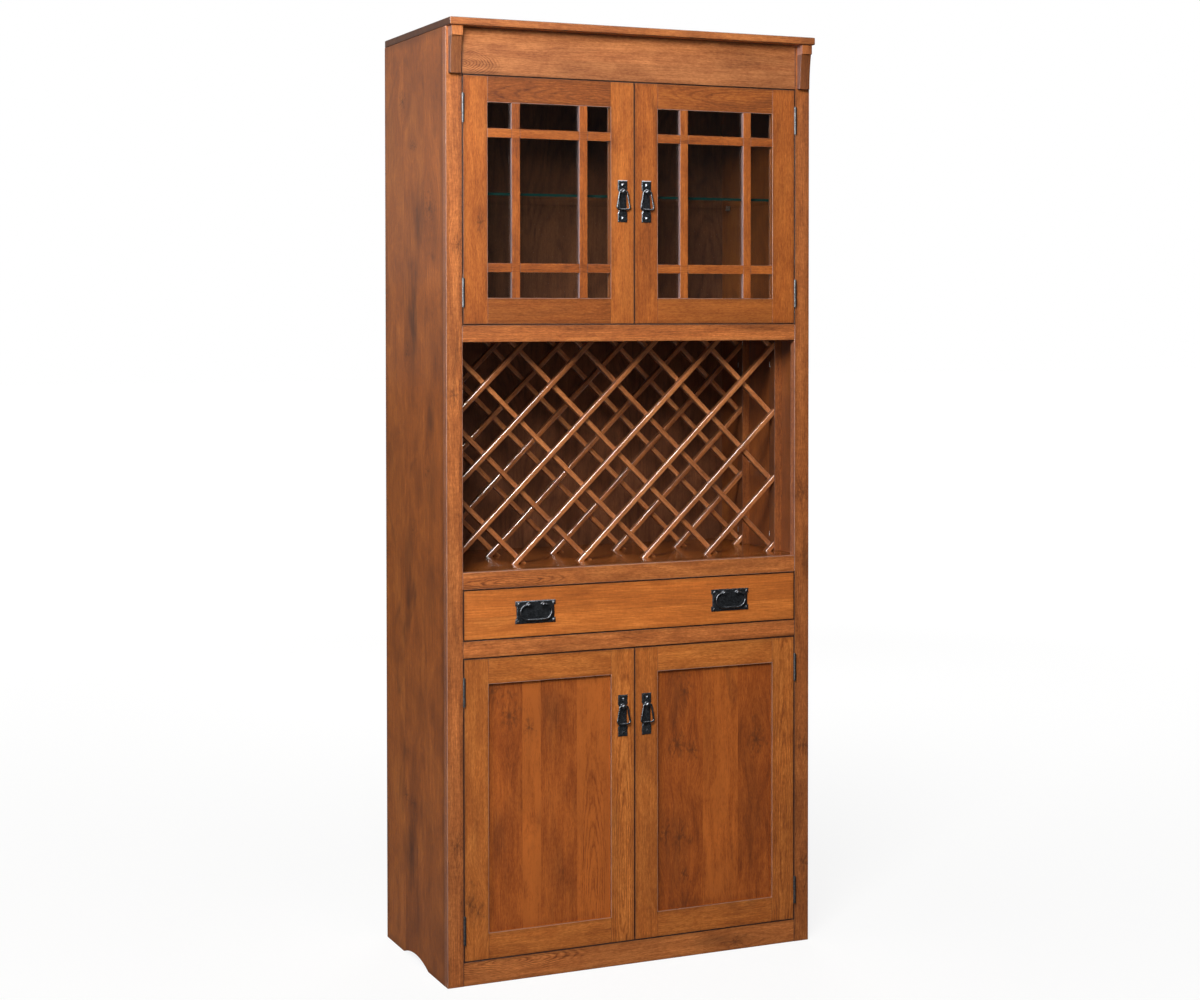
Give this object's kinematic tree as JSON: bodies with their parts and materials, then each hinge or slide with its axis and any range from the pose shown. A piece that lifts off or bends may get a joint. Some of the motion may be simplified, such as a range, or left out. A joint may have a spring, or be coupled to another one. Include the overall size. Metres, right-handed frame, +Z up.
{
  "type": "wine cabinet",
  "caption": "Tall wooden wine cabinet with glazed barred doors, a glass shelf, an open diamond wine lattice, a drawer and a cupboard with flat-panel doors.",
  "frame": {"origin": "on the floor, at the middle of the cabinet's bounding box in plan", "axes": "+X to the right of someone facing the doors, +Y to the back, +Z up"},
  "size_m": [0.907, 0.457, 2.134],
  "materials": {
    "stained_maple": "satin lacquer over a medium brown stain",
    "shaded_maple": "satin lacquer over a medium brown stain, seen in shade",
    "plain_wood": "clear satin lacquer",
    "iron": "blackened and waxed",
    "steel": "zinc plated",
    "glass": "clear float glass"
  },
  "bodies": {
    "cabinet": {"side_left": "shaded_maple", "side_right": "shaded_maple", "back_panel": "shaded_maple", "top_board": "stained_maple", "top_cleats": "plain_wood", "face_stile_left": "stained_maple", "face_stile_right": "stained_maple", "frieze_rail": "stained_maple", "rail_above_wine_bay": "stained_maple", "rail_below_wine_bay": "stained_maple", "rail_below_drawer": "stained_maple", "base_rail": "stained_maple", "corbels": "stained_maple", "display_floor": "stained_maple", "wine_bay_floor": "stained_maple", "drawer_deck": "plain_wood", "cupboard_floor": "stained_maple", "glass_shelf": "glass", "cupboard_shelf": "stained_maple", "shelf_pins": "steel", "front_lattice": "stained_maple", "rear_lattice": "stained_maple", "lattice_cleats": "shaded_maple", "slide_blocks": "plain_wood", "slide_case_members": "steel", "hinge_case_leaves": "iron", "hinge_pins": "iron", "door_catches": "steel"},
    "glass_door_left": {"glass_door_left_frame": "stained_maple", "glass_door_left_bars": "stained_maple", "glass_door_left_glass": "glass", "glass_door_left_stops": "stained_maple", "glass_door_left_hinge_leaves": "iron", "glass_door_left_pull_plate": "iron"},
    "panel_door_left": {"panel_door_left_frame": "stained_maple", "panel_door_left_panel": "shaded_maple", "panel_door_left_hinge_leaves": "iron", "panel_door_left_pull_plate": "iron"},
    "glass_door_left_ring": {"glass_door_left_pull_ring": "iron"},
    "panel_door_left_ring": {"panel_door_left_pull_ring": "iron"},
    "glass_door_right": {"glass_door_right_frame": "stained_maple", "glass_door_right_bars": "stained_maple", "glass_door_right_glass": "glass", "glass_door_right_stops": "stained_maple", "glass_door_right_hinge_leaves": "iron", "glass_door_right_pull_plate": "iron"},
    "panel_door_right": {"panel_door_right_frame": "stained_maple", "panel_door_right_panel": "shaded_maple", "panel_door_right_hinge_leaves": "iron", "panel_door_right_pull_plate": "iron"},
    "glass_door_right_ring": {"glass_door_right_pull_ring": "iron"},
    "panel_door_right_ring": {"panel_door_right_pull_ring": "iron"},
    "drawer": {"drawer_front": "stained_maple", "drawer_box": "plain_wood", "drawer_bottom": "plain_wood", "drawer_slide_members": "steel", "drawer_pull_plates": "iron"},
    "slide_middles": {"slide_middle_members": "steel"},
    "bail_left": {"drawer_bail_left": "iron"},
    "bail_right": {"drawer_bail_right": "iron"}
  },
  "joints": [
    {"name": "glass_door_left_hinge", "type": "hinge", "parent": "cabinet", "child": "glass_door_left", "pos_m": [-0.4147, -0.203, 1.73875], "axis": [0, 0, -1], "range_deg": [0, 170]},
    {"name": "glass_door_left_ring_pivot", "type": "hinge", "parent": "glass_door_left", "child": "glass_door_left_ring", "pos_m": [-0.0298, -0.2064, 1.76425], "axis": [-1, 0, 0], "range_deg": [0, 90]},
    {"name": "panel_door_left_hinge", "type": "hinge", "parent": "cabinet", "child": "panel_door_left", "pos_m": [-0.4147, -0.203, 0.39], "axis": [0, 0, -1], "range_deg": [0, 170]},
    {"name": "panel_door_left_ring_pivot", "type": "hinge", "parent": "panel_door_left", "child": "panel_door_left_ring", "pos_m": [-0.0298, -0.2064, 0.5939], "axis": [-1, 0, 0], "range_deg": [0, 90]},
    {"name": "glass_door_right_hinge", "type": "hinge", "parent": "cabinet", "child": "glass_door_right", "pos_m": [0.4147, -0.203, 1.73875], "axis": [0, 0, 1], "range_deg": [0, 170]},
    {"name": "glass_door_right_ring_pivot", "type": "hinge", "parent": "glass_door_right", "child": "glass_door_right_ring", "pos_m": [0.0298, -0.2064, 1.76425], "axis": [-1, 0, 0], "range_deg": [0, 90]},
    {"name": "panel_door_right_hinge", "type": "hinge", "parent": "cabinet", "child": "panel_door_right", "pos_m": [0.4147, -0.203, 0.39], "axis": [0, 0, 1], "range_deg": [0, 170]},
    {"name": "panel_door_right_ring_pivot", "type": "hinge", "parent": "panel_door_right", "child": "panel_door_right_ring", "pos_m": [0.0298, -0.2064, 0.5939], "axis": [-1, 0, 0], "range_deg": [0, 90]},
    {"name": "drawer_slide", "type": "slide", "parent": "cabinet", "child": "drawer", "axis": [0, -1, 0], "range_m": [0, 0.33]},
    {"name": "middle_slide", "type": "slide", "parent": "cabinet", "child": "slide_middles", "axis": [0, -1, 0], "range_m": [0, 0.165]},
    {"name": "bail_left_pivot", "type": "hinge", "parent": "drawer", "child": "bail_left", "pos_m": [-0.244, -0.2064, 0.83875], "axis": [-1, 0, 0], "range_deg": [0, 90]},
    {"name": "bail_right_pivot", "type": "hinge", "parent": "drawer", "child": "bail_right", "pos_m": [0.244, -0.2064, 0.83875], "axis": [-1, 0, 0], "range_deg": [0, 90]}
  ],
  "couplings": [
    {"joint": "middle_slide", "follows": "drawer_slide", "ratio": 0.5}
  ]
}
